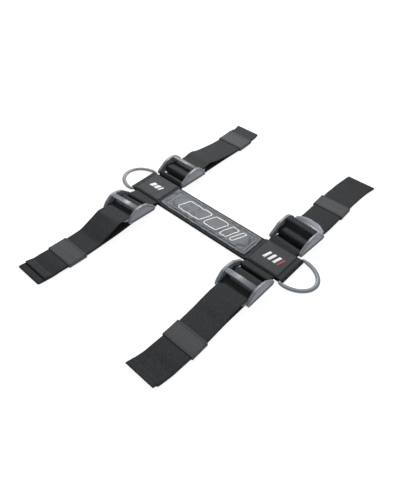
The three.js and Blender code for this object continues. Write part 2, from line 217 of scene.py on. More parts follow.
class Finish:
    """A principled material and short calls for the nodes that feed it."""

    def __init__(self, name, roughness, specular=0.5, sheen=0.0, sheen_roughness=0.5):
        self.material = bpy.data.materials.new(name)
        self.material.use_nodes = True
        self.tree = self.material.node_tree
        self.shader = self.tree.nodes["Principled BSDF"]
        set_inputs(self.shader, {"Roughness": roughness, "Specular IOR Level": specular})
        set_inputs(self.shader, {"Sheen Weight": sheen, "Sheen Roughness": sheen_roughness})

    def node(self, kind, **settings):
        made = self.tree.nodes.new(kind)
        for key, value in settings.items():
            setattr(made, key, value)
        return made

    def link(self, source, target):
        self.tree.links.new(source, target)

    def feed(self, value, socket):
        if isinstance(value, (int, float)):
            socket.default_value = value
        else:
            self.link(value, socket)

    def math(self, operation, a, b=0.0, c=0.0):
        made = self.node("ShaderNodeMath", operation=operation)
        for value, socket in zip((a, b, c), made.inputs):
            self.feed(value, socket)
        return made.outputs[0]

    def wave(self, value, pitch):
        """A sine ripple that repeats every pitch metres."""
        return self.math("SINE", self.math("MULTIPLY", value, 2 * math.pi / pitch))

    def weighted(self, *pairs):
        """The sum of (value, share) pairs."""
        total = None
        for value, share in pairs:
            part = value if share == 1 else self.math("MULTIPLY", value, share)
            total = part if total is None else self.math("ADD", total, part)
        return total

    def position(self):
        return self.node("ShaderNodeTexCoord").outputs["Object"]

    def across_along(self):
        """The strip coordinates stored on the mesh, in metres: across it and along it."""
        uv = self.node("ShaderNodeUVMap", uv_map="strip")
        split = self.node("ShaderNodeSeparateXYZ")
        self.link(uv.outputs["UV"], split.inputs[0])
        return split.outputs["X"], split.outputs["Y"]

    def noise(self, scale, detail=3.0, roughness=0.55, vector=None):
        made = self.node("ShaderNodeTexNoise")
        set_inputs(made, {"Scale": scale, "Detail": detail, "Roughness": roughness})
        self.link(self.position() if vector is None else vector, made.inputs["Vector"])
        return made.outputs["Fac"]

    def ramp(self, value, stops):
        made = self.node("ShaderNodeValToRGB")
        elements = made.color_ramp.elements
        for i, (place, colour) in enumerate(stops):
            element = elements[i] if i < 2 else elements.new(place)
            element.position = place
            element.color = (*colour, 1)
        self.link(value, made.inputs["Fac"])
        return made.outputs["Color"]

    def span(self, value, low, high):
        """Maps 0..1 to low..high."""
        return self.math("MULTIPLY_ADD", value, high - low, low)

    def colour(self, value):
        self.link(value, self.shader.inputs["Base Color"])

    def rough(self, value):
        self.link(value, self.shader.inputs["Roughness"])

    def bump(self, height, distance, strength=1.0):
        made = self.node("ShaderNodeBump")
        set_inputs(made, {"Distance": distance, "Strength": strength})
        self.link(height, made.inputs["Height"])
        self.link(made.outputs["Normal"], self.shader.inputs["Normal"])


def scaled(colour, factor):
    return tuple(c * factor for c in colour)


def webbing(name, base, pitch=0.00125, twill=0.5):
    """Woven nylon webbing: warp columns, weft ribs and a slanted float over them."""
    f = Finish(name, 0.72, specular=0.2, sheen=0.03, sheen_roughness=0.45)
    across, along = f.across_along()
    plain = f.math("MULTIPLY", f.wave(across, pitch), f.wave(along, pitch / 1.35))
    slant = f.wave(f.math("ADD", across, along), pitch * 2)
    weave = f.math("MULTIPLY_ADD", slant, twill, plain)
    level = f.math("MULTIPLY_ADD", weave, 0.3, 0.5)
    lint = f.noise(900, detail=2.0)
    patches = f.noise(28, detail=4.0)
    mottle = f.noise(330, detail=4.0, roughness=0.7)
    tone = f.weighted((level, 0.35), (lint, 0.1), (mottle, 0.4), (patches, 0.15))
    f.colour(f.ramp(tone, [(0.36, scaled(base, 0.3)), (0.66, scaled(base, 2.15))]))
    f.rough(f.span(patches, 0.62, 0.82))
    selvedge = f.math("GREATER_THAN", f.math("ABSOLUTE", across), 0.0236)
    rib = f.math("MULTIPLY", selvedge, f.wave(along, pitch / 0.7))
    f.bump(f.weighted((level, 1), (rib, 0.35)), 0.00022, 0.75)
    return f.material


def elastic():
    """Ribbed knitted elastic: cords run round the arm, knitted stitches sit on each cord. A dark line just
    inside each rim is painted shadow beside the raised binding.
    """
    f = Finish("elastic", 0.85, specular=0.15, sheen=0.08, sheen_roughness=0.6)
    across, along = f.across_along()
    cords = f.math("MULTIPLY_ADD", f.wave(across, 0.0008), 0.35, f.wave(along, 0.0011))
    level = f.math("MULTIPLY_ADD", cords, 0.35, 0.5)
    fluff = f.noise(1400, detail=2.0)
    # Painted shadow: a dark line 2 to 2.8 mm in from each rim darkens the tone beside the raised binding.
    painted_shadow_line = f.math("LESS_THAN", f.math("ABSOLUTE", f.math("SUBTRACT", along, 0.0024)), 0.0004)
    tone = f.weighted((level, 0.6), (fluff, 0.4), (painted_shadow_line, -0.5))
    dark, mid, pale = (0.022, 0.023, 0.025), (0.052, 0.054, 0.058), (0.100, 0.103, 0.110)
    f.colour(f.ramp(tone, [(0.0, dark), (0.25, mid), (0.85, pale)]))
    f.bump(level, 0.00018, 0.7)
    return f.material


def woven_label():
    """Fine damask label cloth with slightly lifted lighter threads."""
    f = Finish("label_cloth", 0.6, specular=0.3, sheen=0.05)
    across, along = f.across_along()
    weave = f.math("MULTIPLY", f.wave(across, 0.0006), f.wave(along, 0.0007))
    level = f.math("MULTIPLY_ADD", weave, 0.5, 0.5)
    cloud = f.noise(160, detail=5.0)
    tone = f.weighted((level, 0.4), (cloud, 0.6))
    f.colour(f.ramp(tone, [(0.3, (0.017, 0.020, 0.023)), (0.75, (0.045, 0.051, 0.057))]))
    f.bump(f.weighted((level, 1), (cloud, 0.6)), 0.0002, 0.6)
    return f.material


def cover_leather():
    """Synthetic leather: pebble grain, painted shade along the sewn groove and a paler band round the rim.
    Its strip coordinates are in mm."""
    f = Finish("cover_leather", 0.55, specular=0.45)
    cell = f.node("ShaderNodeTexVoronoi", feature="DISTANCE_TO_EDGE")
    cell.inputs["Scale"].default_value = 950
    f.link(f.position(), cell.inputs["Vector"])
    grain = f.math("MINIMUM", f.math("MULTIPLY", cell.outputs["Distance"], 3.0), 1.0)
    fine = f.noise(2600, detail=3.0)
    wide = f.noise(24, detail=5.0)
    across, along = f.across_along()
    from_side = f.math("SUBTRACT", COVER["width"] / 2, f.math("ABSOLUTE", across))
    from_end = f.math("SUBTRACT", COVER["length"] / 2, f.math("ABSOLUTE", along))
    inset = f.math("MINIMUM", from_side, from_end)
    # A band round the rim, outside the seam, is made paler.
    border = f.math("LESS_THAN", inset, SEAM_INSET - 0.7)
    # Painted shade: a dark band along the seam line, where the sewn groove dips.
    groove = f.math("LESS_THAN", f.math("ABSOLUTE", f.math("SUBTRACT", inset, SEAM_INSET)), 0.55)
    tone = f.weighted((wide, 0.75), (grain, 0.25), (border, 0.12), (groove, -0.5))
    dark, mid, pale = (0.016, 0.018, 0.021), (0.068, 0.079, 0.090), (0.116, 0.133, 0.150)
    f.colour(f.ramp(tone, [(0.0, dark), (0.3, mid), (0.85, pale)]))
    f.rough(f.span(fine, 0.46, 0.66))
    f.bump(f.weighted((grain, 1), (fine, 0.4)), 0.00012, 0.6)
    return f.material


def moulded(name, base, roughness=0.42):
    """Glass-filled nylon: fine spark texture, faint flow marks and handling wear."""
    f = Finish(name, roughness, specular=0.5)
    spark = f.noise(3200, detail=2.0)
    flow = f.noise(40, detail=6.0, roughness=0.6)
    scuff = f.noise(300, detail=8.0, roughness=0.75)
    tone = f.weighted((flow, 0.6), (scuff, 0.4))
    f.colour(f.ramp(tone, [(0.3, scaled(base, 0.86)), (0.7, scaled(base, 1.14))]))
    f.rough(f.span(scuff, roughness - 0.1, roughness + 0.16))
    f.bump(f.weighted((spark, 1), (scuff, 0.5)), 0.00006, 0.5)
    return f.material


def thread(name, colour, roughness=0.5):
    """Twisted sewing thread: slanted plies along each stitch."""
    f = Finish(name, roughness, specular=0.45, sheen=0.2)
    wave = f.node("ShaderNodeTexWave", bands_direction="DIAGONAL")
    set_inputs(wave, {"Scale": 900, "Distortion": 1.5})
    f.link(f.position(), wave.inputs["Vector"])
    plies = wave.outputs["Fac"]
    f.colour(f.ramp(plies, [(0.1, scaled(colour, 0.7)), (0.9, scaled(colour, 1.08))]))
    f.bump(plies, 0.0001, 0.5)
    return f.material


def foam_finish():
    """Closed-cell foam."""
    f = Finish("foam", 0.95, specular=0.1)
    cell = f.node("ShaderNodeTexVoronoi")
    cell.inputs["Scale"].default_value = 1500
    f.link(f.position(), cell.inputs["Vector"])
    depth = cell.outputs["Distance"]
    f.colour(f.ramp(depth, [(0.1, (0.008, 0.008, 0.009)), (0.8, (0.03, 0.03, 0.032))]))
    f.bump(depth, 0.0003, 0.6)
    return f.material


# ---- outlines and strips ----


def rounded(corners, closed, step=math.pi / 18):
    """Points along straight runs joined by arcs. Each corner is (x, y, radius)."""
    points = []
    count = len(corners)
    for i, (x, y, radius) in enumerate(corners):
        corner = Vector((x, y))
        if not closed and i in (0, count - 1):
            points.append(corner)
            continue
        back = (Vector(corners[i - 1][:2]) - corner).normalized()
        ahead = (Vector(corners[(i + 1) % count][:2]) - corner).normalized()
        turn = math.pi - math.acos(max(-1.0, min(1.0, back.dot(ahead))))
        reach = radius * math.tan(turn / 2)
        if turn < 1e-4:
            points.append(corner)
            continue
        centre = corner + (back + ahead).normalized() * (radius / math.cos(turn / 2))
        first = corner + back * reach - centre
        sign = math.copysign(1, back.y * ahead.x - back.x * ahead.y)
        steps = max(2, math.ceil(turn / step))
        for k in range(steps + 1):
            a = sign * turn * k / steps
            c, s = math.cos(a), math.sin(a)
            points.append(centre + Vector((first.x * c - first.y * s, first.x * s + first.y * c)))
    return points


def soft_rectangle(width, height, r, step=math.pi / 12):
    w, h = width / 2, height / 2
    return rounded([(-w, -h, r), (w, -h, r), (w, h, r), (-w, h, r)], True, step=step)


def divided(points, spacing, closed=False):
    """Splits long straight runs."""
    ring = points + [points[0]] if closed else points
    result = [ring[0]]
    for a, b in zip(ring, ring[1:]):
        pieces = max(1, round((b - a).length / spacing))
        result += [a.lerp(b, k / pieces) for k in range(1, pieces + 1)]
    return result[:-1] if closed else result


def spaced(points):
    """Drops points that lie on the one before."""
    return [p for i, p in enumerate(points) if i == 0 or (p - points[i - 1]).length > 1e-6]


def inward(points, distance):
    """A closed outline pulled in by a distance."""
    n = len(points)
    result = []
    for i, p in enumerate(points):
        into = (p - points[i - 1]).normalized()
        out = (points[(i + 1) % n] - p).normalized()
        along = (into + out).normalized()
        result.append(p + Vector((-along.y, along.x)) * distance / max(0.6, along.dot(into)))
    return result


def ring_faces(rings, size, closed=False):
    """Quads between neighbouring rings of points, with flat ends unless the rings close."""
    faces = []
    for i in range(rings if closed else rings - 1):
        j = (i + 1) % rings
        for k in range(size):
            l = (k + 1) % size
            faces.append((i * size + k, i * size + l, j * size + l, j * size + k))
    if not closed:
        faces.append(tuple(reversed(range(size))))
        faces.append(tuple((rings - 1) * size + k for k in range(size)))
    return faces


def stacked(outline, profile):
    """A solid part from an outline in plan and the (inset, height) pairs of its sides."""
    vertices = [Vector((p.x, p.y, z)) * MM for d, z in profile for p in inward(outline, d)]
    return vertices, ring_faces(len(profile), len(outline))


def two_sided(columns, rows):
    """Faces of a top grid and a bottom grid of points, closed round their rim."""
    size = (columns + 1) * (rows + 1)

    def top(i, j):
        return i * (rows + 1) + j

    def bottom(i, j):
        return size + top(i, j)

    faces = []
    for i in range(columns):
        for j in range(rows):
            faces.append((top(i, j), top(i + 1, j), top(i + 1, j + 1), top(i, j + 1)))
            faces.append((bottom(i, j + 1), bottom(i + 1, j + 1), bottom(i + 1, j), bottom(i, j)))
    rim = [(i, 0) for i in range(columns)] + [(columns, j) for j in range(rows)]
    rim += [(i, rows) for i in range(columns, 0, -1)] + [(0, j) for j in range(rows, 0, -1)]
    for a, b in zip(rim, rim[1:] + rim[:1]):
        faces.append((top(*a), bottom(*a), bottom(*b), top(*b)))
    return faces


def mesh_object(name, vertices, faces, finish, strip=None, smooth=True):
    """A mesh piece. strip gives each vertex its (across, along) coordinates in metres."""
    mesh = bpy.data.meshes.new(name)
    mesh.from_pydata([tuple(v) for v in vertices], [], faces)
    if strip:
        layer = mesh.uv_layers.new(name="strip")
        for loop in mesh.loops:
            layer.data[loop.index].uv = strip[loop.vertex_index]
    for material in finish if isinstance(finish, (list, tuple)) else [finish]:
        mesh.materials.append(material)
    mesh.polygons.foreach_set("use_smooth", [smooth] * len(mesh.polygons))
    mesh.update()
    made = bpy.data.objects.new(name, mesh)
    bpy.context.scene.collection.objects.link(made)
    return made


def band_section(width, thickness, columns=14, edge=4):
    """(across, normal) points round a flat band with round selvedges, as one closed loop."""
    half, r = width / 2, thickness / 2
    flat = [(-half + r) + (width - thickness) * k / columns for k in range(columns + 1)]
    turns = [math.pi * k / (edge + 1) for k in range(1, edge + 1)]
    points = [(a, r) for a in flat]
    points += [(half - r + r * math.sin(t), r * math.cos(t)) for t in turns]
    points += [(a, -r) for a in reversed(flat)]
    points += [(-half + r - r * math.sin(t), -r * math.cos(t)) for t in turns]
    return points


def strip_object(name, line, width, thickness, place, finish, closed=False, shape=None):
    """A band lofted along a line of (s, z) points. place maps (across, s, z) in mm to metres.
    shape(s, along, across) gives the extra lift along the band's normal."""
    section = band_section(width, thickness)
    n = len(line)
    vertices, strip = [], []
    along = 0.0
    for i, point in enumerate(line):
        before = line[i - 1] if closed or i else line[i]
        after = line[(i + 1) % n] if closed or i < n - 1 else line[i]
        into = (point - before).normalized() if i or closed else (after - point).normalized()
        out = (after - point).normalized() if i < n - 1 or closed else into
        tangent = (into + out).normalized()
        stretch = 1 / max(0.5, tangent.dot(into))
        normal = Vector((-tangent.y, tangent.x)) * stretch
        if i:
            along += (point - line[i - 1]).length
        for a, b in section:
            lift = shape(point.x, along, a) if shape else 0.0
            at = point + normal * (b + lift)
            vertices.append(place(a, at.x, at.y))
            strip.append((a * MM, along * MM))
    made = mesh_object(name, vertices, ring_faces(n, len(section), closed), finish, strip)
    made["length_mm"] = along + ((line[0] - line[-1]).length if closed else 0)
    fix_normals(made)
    return made


def fix_normals(obj):
    """Turns every face outward."""
    bm = bmesh.new()
    bm.from_mesh(obj.data)
    bmesh.ops.recalc_face_normals(bm, faces=bm.faces)
    bm.to_mesh(obj.data)
    bm.free()


def smoothstep(x, low, high):
    t = max(0.0, min(1.0, (x - low) / (high - low)))
    return t * t * (3 - 2 * t)


def joined(name, parts, finish):
    """One object from several (vertices, faces) parts."""
    vertices, faces = [], []
    for part_vertices, part_faces in parts:
        start = len(vertices)
        vertices += part_vertices
        faces += [tuple(start + i for i in face) for face in part_faces]
    return mesh_object(name, vertices, faces, finish)


# ---- sewing ----

def capsule(a, b, up, radius=STITCH_R, sag=0.3, rings=4, around=8):
    """One stitch from a to b in mm: a bowed thread whose ends dip into the cloth along -up."""
    direction = (b - a).normalized()
    side = direction.cross(up).normalized()
    vertices = []
    for i in range(rings + 1):
        t = i / rings
        bow = math.sin(math.pi * t)
        centre = a.lerp(b, t) + up * (bow * radius * 0.9 - sag)
        r = radius * (0.55 + 0.45 * bow)
        for k in range(around):
            angle = 2 * math.pi * k / around
            vertices.append((centre + side * math.cos(angle) * r + up * math.sin(angle) * r) * MM)
    return vertices, ring_faces(rings + 1, around)


def seam(route, pitch, share=0.68, up=Vector((0, 0, 1)), radius=STITCH_R):
    """Stitches along a route of mm points, each taking its share of the pitch."""
    parts = []
    lengths = [(b - a).length for a, b in zip(route, route[1:])]
    total = sum(lengths)
    count = max(1, round(total / pitch))

    def at(distance):
        for (a, b), length in zip(zip(route, route[1:]), lengths):
            if distance <= length or length == lengths[-1] and b is route[-1]:
                return a.lerp(b, min(1.0, distance / length))
            distance -= length
        return route[-1]

    for k in range(count):
        middle = (k + 0.5) * total / count
        reach = share * total / count / 2
        a, b = at(middle - reach), at(middle + reach)
        parts.append(capsule(a, b, up, radius))
    return parts


def rectangle_route(cx, length, width, z):
    h, w = length / 2, width / 2
    corners = [(-h, -w), (h, -w), (h, w), (-h, w), (-h, -w)]
    return [Vector((cx + x, y, z)) for x, y in corners]


# ---- arms ----


def rise_of(arm):
    """The lift that the keeper's lower wall gives the webbing where the keeper slides."""
    lift = KEEPER_WALL + KEEPER_GAP
    start = arm["keeper"] + arm["travel"][0] - KEEPER_CLEAR
    stop = arm["keeper"] + arm["keeper_length"] + arm["travel"][1] + KEEPER_CLEAR
    last = min(stop + 16, arm["end"] - 4)
    return lambda s: lift * (smoothstep(s, BUCKLE_END, start) - smoothstep(s, stop, last))


def course_of(arm):
    """The arm's course in plan: its sideways shift and its skew at a distance s."""
    turn = math.radians(arm["yaw"])
    slope = -math.sin(turn)
    seat = arm["seat"][0]
    at_end = slope * (BUCKLE_END - seat)
    mid = arm["keeper"] + arm["keeper_length"] / 2 - BUCKLE_END
    far = arm["end"] - BUCKLE_END

    def needed(t, shift):
        return (arm["facing"] * shift - at_end - slope * t) / t**2

    cubic = (needed(far, arm["shift"][1]) - needed(mid, arm["shift"][0])) / (far - mid)
    square = needed(mid, arm["shift"][0]) - cubic * mid

    def course(s):
        t = max(0.0, s - BUCKLE_END)
        turned = smoothstep(s, TURN_START, seat - 6)
        turned *= 1 - smoothstep(s, BUCKLE_END, BUCKLE_END + 30)
        return slope * max(0.0, s - seat) + t * t * (square + cubic * t), math.sin(turn) * turned

    return course


def placer(arm):
    """Maps (across, outward, height) in mm on an arm to metres in the row frame."""
    course = course_of(arm)
    side, facing = arm["side"], arm["facing"]

    def place(across, s, z):
        shift, skew = course(s)
        across *= 1 + (ANCHOR_W / WEB_W - 1) * (1 - smoothstep(s, 55, 80))
        x = side * JUNCTION_X + facing * (across + shift)
        return Vector((x, facing * (s + across * skew), z)) * MM

    return place


def arm_route(arm):
    """Corners of the webbing's centreline, from under the junction to the tail's end."""
    seat = Vector(arm["seat"])
    tilt = math.radians(arm["tilt"])

    def on_buckle(s, z, radius):
        point = Matrix.Rotation(tilt, 2) @ Vector((s, z)) + seat
        return point.x, point.y, radius

    half = WEB_T / 2
    wrap = GRIP["r"] + GAP + half
    back = LOW_Z + LAYER
    top = back + LAYER
    fold_top = LOW_Z + 2 * FOLD_R
    tab_top = TAB["low"] + TAB["thickness"] + GAP + half
    end, tail = arm["end"], arm["tail"]
    over_grip = GRIP["z"] + wrap + (0 if arm["under_tab"] else 0.5)
    turn = on_buckle(GRIP["s"] - wrap, over_grip, wrap)
    out = [
        (14.0, SIDE_Z, 0),
        (CLEAR_S, SIDE_Z, 2.5),
        (min(CLEAR_S + 6, seat.x - GAP - 1), LOW_Z, 2.5),
        (end - half, LOW_Z, FOLD_R),
        (end - half, fold_top, FOLD_R),
        (end - 9, fold_top, 8),
        (end - 16, back, 8),
        (turn[0], back, 3),
        turn,
    ]
    start = arm["keeper"] + arm["travel"][0] - KEEPER_CLEAR
    tail_z = fold_top + LAYER + 0.1 if tail > end - 16 else top
    last = [(min(end - 20, tail - 8), top, 10), (tail, tail_z, 0)]
    if arm["under_tab"]:
        over = BRIDGE["z"] + BRIDGE["thickness"] / 2 + GAP + half
        reach = BRIDGE["width"] / 2 + 1
        return out + [
            on_buckle(GRIP["s"] + 4, GRIP["z"] + wrap, 3),
            on_buckle(BRIDGE["s"] - reach - 4, GRIP["z"] + wrap - 1, 3),
            on_buckle(BRIDGE["s"] - reach, over + 0.7, 2),
            on_buckle(BRIDGE["s"] + reach, over - 0.5, 2),
            (seat.x + TAB["start"] - 3.5, top + 0.6, 2.5),
            (seat.x + TAB["crown"] + 8, top + 0.3, 20),
            (start - 8, top, 20),
        ] + last
    return out + [
        on_buckle(TAB["start"] + 1, tab_top, 20),
        on_buckle(TAB["crown"] + 3, tab_top + 0.3, 12),
        (start - 4, top, 24),
    ] + last


def arm_strap(name, arm, finish):
    rise = rise_of(arm)
    line = divided(rounded(arm_route(arm), False), 2.6)
    line = [Vector((p.x, p.y + rise(p.x))) for p in line]
    total = sum((b - a).length for a, b in zip(line, line[1:]))
    rng = random.Random(name)
    phases = [rng.uniform(0, 6.28) for _ in range(2)]
    slides_from = arm["keeper"] + arm["travel"][0]

    def shape(s, along, across):
        edge = (across / 25) ** 2
        free = smoothstep(s, BUCKLE_END + 2, BUCKLE_END + 14)
        free *= 1 - smoothstep(s, slides_from - 18, slides_from - 5)
        on_tail = smoothstep(along, total - 170, total - 150)
        ripple = 0.10 * math.sin(s * 0.21 + phases[0]) + 0.06 * math.sin(s * 0.47 + phases[1])
        hump = arm["hump"] * math.exp(-(((s - BUCKLE_END - 2) / 13) ** 2))
        return on_tail * (free * (0.45 * (1 - edge) + ripple) + hump)

    strap = strip_object(f"webbing_{name}", line, WEB_W, WEB_T, placer(arm), finish, shape=shape)
    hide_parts(f"arm_strap_{name}")
    facing, x, seat = arm["facing"], arm["side"] * JUNCTION_X * MM, arm["seat"][0]
    start, end = ((x, facing * (seat + reach) * MM, 0) for reach in (-5, 7))
    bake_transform(strap)
    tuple(start)
    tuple(end)
    return line


def tail_hem(name, arm, line, finish, thread_finish):
    """The tail's turned-back end: a short doubled flap with two rows of stitches."""
    place = placer(arm)
    end = line[-1]
    before = line[-3]
    direction = (end - before).normalized()
    normal = Vector((-direction.y, direction.x))
    if normal.y < 0:
        normal.negate()
    turn = HEM["turn"]
    tip = []
    for k in range(1, 9):
        t = -math.pi / 2 + math.pi * k / 8
        tip.append(end + normal * turn * (1 + math.sin(t)) + direction * math.cos(t) * turn)
    flap = [end + normal * 2 * turn - direction * (HEM["depth"] * k / 6) for k in range(1, 7)]
    width = WEB_W - HEM["trim"]
    made = strip_object(f"hem_{name}", tip + flap, width, HEM["thickness"], place, finish)
    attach(made, f"arm_{name}")
    parts = []
    top = normal * (2 * turn + HEM["thickness"] / 2 - 0.02)
    for inset in HEM["rows"]:
        at = end - direction * inset + top
        route = [place(across, at.x, at.y) / MM for across in (-HEM["half"], HEM["half"])]
        parts += seam(route, 3.0, radius=0.26)
    stitches = joined(f"hem_stitches_{name}", parts, thread_finish)
    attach(stitches, f"arm_{name}")


def keeper(name, arm, finish):
    """Ribbed elastic in a loop: the cords run round the arm, and each rim has a raised binding."""
    place = placer(arm)
    inside = 3 * WEB_T + 2 * GAP + 2 * KEEPER_GAP
    width = WEB_W + 2 * (KEEPER_SIDE + KEEPER_WALL)
    height = inside + 2 * KEEPER_WALL
    r = 2.4
    w, h = width / 2, height / 2
    loop = divided(soft_rectangle(width, height, r, step=math.pi / 14), 2.4, closed=True)
    around = [0.0]
    for a, b in zip(loop, loop[1:]):
        around.append(around[-1] + (b - a).length)
    length = arm["keeper_length"]
    stations = round(length / 0.22)
    rib_pitch = 1.15
    vertices, strip = [], []
    profile = []
    for i in range(stations + 1):
        y = length * i / stations
        rib = 0.10 * math.sin(2 * math.pi * y / rib_pitch)
        rim = min(y, length - y)
        bind = 0.16 * math.exp(-(((rim - 1.3) / 0.9) ** 2))
        rolled = -0.35 * math.exp(-((rim / 0.35) ** 2))
        profile.append((y, rib + bind + rolled))
    inner = [(length, -KEEPER_WALL + 0.12), (0.0, -KEEPER_WALL + 0.12)]
    rings = profile + inner
    for y, grow in rings:
        for k, p in enumerate(loop):
            at_side = abs(p.x) > w - r
            if at_side and abs(p.y) > h - r:
                corner = Vector((math.copysign(w - r, p.x), math.copysign(h - r, p.y)))
                n = (p - corner).normalized()
            elif at_side:
                n = Vector((math.copysign(1, p.x), 0))
            else:
                n = Vector((0, math.copysign(1, p.y)))
            at = p + n * grow
            vertices.append(place(at.x, arm["keeper"] + y, at.y + h))
            strip.append((around[k] * MM, min(y, length - y) * MM))
    faces = ring_faces(len(rings), len(loop), closed=True)
    made = mesh_object(f"elastic_{name}", vertices, faces, finish, strip)
    fix_normals(made)
    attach(made, f"keeper_{name}")
    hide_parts(f"keeper_{name}")


# ---- buckle ----


def wall_part(side):
    """A side plate: raised rim, a step down to the recessed outer face, and rounded edges.
    It is built lying flat, then stood up across the buckle."""
    outline = divided(rounded(PLATE, True, step=math.pi / 30), 1.6, closed=True)
    x0, x1 = INNER / 2, INNER / 2 + WALL
    profile = [(0.9, x0), (0.25, x0 + 0.2), (0, x0 + 0.8), (0, x1 - 0.8), (0.25, x1 - 0.22), (0.9, x1)]
    profile += [(1.6, x1), (1.75, x1 - 0.15), (1.85, x1 - 2.2), (2.7, x1 - 2.3)]
    profile += [(2.85, x1 - 1.3), (3.2, x1 - 1.15)]
    vertices, faces = stacked(outline, profile)
    return [Vector((side * v.z, v.x, v.y)) for v in vertices], faces


def rod_part(s, z, section, half):
    """A bar across the buckle with the given closed section of (s, z) offsets."""
    vertices = [Vector((x, s + p.x, z + p.y)) * MM for x in (-half, half) for p in section]
    return vertices, ring_faces(2, len(section))


def circle(r, n=28):
    return [Vector((math.cos(a), math.sin(a))) * r for a in (2 * math.pi * k / n for k in range(n))]


def tab_part():
    """The release tab: a plate with a crowned outer edge, rounded all round."""
    half = INNER / 2 + 0.5
    right = [(half, TAB["start"], 0.4), (half, TAB["side"], 3), (half * 0.45, TAB["crown"], 22)]
    left = [(-x, y, r) for x, y, r in reversed(right)]
    outline = rounded(left[-1:] + right + left[:-1], True, step=math.pi / 40)
    outline = divided(outline, 1.8, closed=True)
    low, high = TAB["low"], TAB["low"] + TAB["thickness"]
    profile = [(0.9, low), (0.25, low + 0.25), (0, low + 0.9), (0, high - 0.9)]
    profile += [(0.25, high - 0.25), (0.9, high), (2.6, high), (3.2, high - 0.3)]
    return stacked(outline, profile)


def buckle_mesh(finish):
    """One buckle about its fixed bar, to be copied to the four seats."""
    half = INNER / 2 + 1.2
    parts = [wall_part(-1), wall_part(1), tab_part()]
    parts.append(rod_part(0, 0, circle(FIXED_R), half))
    parts.append(rod_part(GRIP["s"], GRIP["z"], circle(GRIP["r"]), half))
    lean = Matrix.Rotation(math.radians(-BRIDGE["lean"]), 2)
    flat = [lean @ p for p in soft_rectangle(BRIDGE["width"], BRIDGE["thickness"], 0.8)]
    parts.append(rod_part(BRIDGE["s"], BRIDGE["z"], flat, half + 2.2))
    tab_root = soft_rectangle(3.6, 3.0, 0.9)
    parts.append(rod_part(TAB["start"] + 1.4, TAB["low"] + 1.2, tab_root, half))
    rib = soft_rectangle(0.8, 0.7, 0.25)
    for k in range(3):
        parts.append(rod_part(TAB["side"] + 1.6 + 1.9 * k, TAB["low"] - 0.05, rib, 17 - 3.2 * k))
    made = joined("buckle_shell", parts, finish)
    fix_normals(made)
    return made


def buckle(name, arm, shell):
    made = bpy.data.objects.new(f"buckle_shell_{name}", shell.data.copy())
    bpy.context.scene.collection.objects.link(made)
    seat = Matrix.Translation(Vector((0, *arm["seat"])) * MM)
    seat @= Matrix.Rotation(math.radians(arm["yaw"]), 4, "Z")
    seat @= Matrix.Rotation(math.radians(arm["tilt"]), 4, "X")
    turn = Matrix.Rotation(0 if arm["facing"] > 0 else math.pi, 4, "Z")
    shift = Matrix.Translation((arm["side"] * JUNCTION_X * MM, 0, 0))
    made.data.transform(shift @ turn @ seat)
    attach(made, f"arm_{name}")
    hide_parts(f"buckle_{name}")


# ---- centre bar ----


def centre_strap(finish):
    end = RING["bar"] + LOOP_R
    half = [
        (end, LOW_Z, LOOP_R),
        (end, JUNCTION_Z, LOOP_R),
        (RAMP_HEAD, JUNCTION_Z, 3),
        (RAMP_FOOT, MIDDLE_Z, 3),
    ]
    corners = half + [(-x, z, r) for x, z, r in reversed(half)]
    line = divided(rounded(corners, True), 3.0, closed=True)

    def place(across, x, z):
        return Vector((x, across, z)) * MM

    made = strip_object("centre_webbing", line, BAR_W, WEB_T, place, finish, closed=True)
    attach(made, "frame")
    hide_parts("centre_strap")


def foam_core(finish):
    outline = soft_rectangle(FOAM["length"], FOAM["width"] + 3.6, 3)
    outline = divided(outline, 4.0, closed=True)
    low, high = FOAM_LOW + 0.05, FOAM_LOW + FOAM["thickness"]
    sides = [(0.7, low), (0.1, low + 0.35), (0, (low + high) / 2), (0.1, high - 0.35), (0.7, high)]
    vertices, faces = stacked(outline, sides)
    made = mesh_object("foam_core", vertices, faces, finish)
    fix_normals(made)
    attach(made, "frame")
    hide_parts("foam_pad")


def reaching(x):
    """The cover's left end reaches a little further out, up the step to the junction."""
    return x - 4 * smoothstep(-x, 79, 88.3)


def squared(x, y):
    """Pulls the corners of the cover's grid in to a rounded rectangle."""
    hx, hy = COVER["length"] / 2 - COVER["corner"], COVER["width"] / 2 - COVER["corner"]
    dx, dy = abs(x) - hx, abs(y) - hy
    if min(dx, dy) <= 0:
        return x, y
    pull = max(dx, dy) / math.hypot(dx, dy)
    return math.copysign(hx + dx * pull, x), math.copysign(hy + dy * pull, y)


def cover_inset(v):
    """How far a vertex lies inside the cover's rim, in mm."""
    return min(COVER["length"] / 2 - abs(v.co.x) / MM, COVER["width"] / 2 - abs(v.co.y) / MM)


def pad_cover(finish):
    """The padded cover, blown up between its rim and its seam by a short cloth simulation."""
    columns, rows = 96, 26
    low = COVER_LOW + 0.05
    vertices, strip = [], []
    for z in (COVER_LOW + 1.0, low):
        for i in range(columns + 1):
            for j in range(rows + 1):
                x, y = squared(COVER["length"] * (i / columns - 0.5), COVER["width"] * (j / rows - 0.5))
                vertices.append(Vector((x, y, z)) * MM)
                strip.append((y, x))
    made = mesh_object("cover_panel", vertices, two_sided(columns, rows), finish, strip)
    fix_normals(made)
    held = made.vertex_groups.new(name="held")
    for index, v in enumerate(made.data.vertices):
        inset = cover_inset(v)
        seam_hold = math.exp(-(((inset - SEAM_INSET) / 0.8) ** 2))
        hold = 1.0 if v.co.z < (low + 0.2) * MM or inset < 0.9 else seam_hold
        held.add([index], hold, "REPLACE")
    puff(made, held, 1.35)
    top = made.modifiers.new("surface", "SUBSURF")
    top.levels = top.render_levels = 1
    apply_modifiers(made)
    for v in made.data.vertices:
        if v.co.z > (low + 0.3) * MM:
            v.co.z -= 0.45 * MM * math.exp(-(((cover_inset(v) - SEAM_INSET) / 0.55) ** 2))
        x = reaching(v.co.x / MM)
        v.co.x = x * MM
        v.co.z += max(0.0, 0.2 - RAMP_FOOT - x) * 0.54 * MM
    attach(made, "frame")
    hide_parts("pad_cover")
    return made


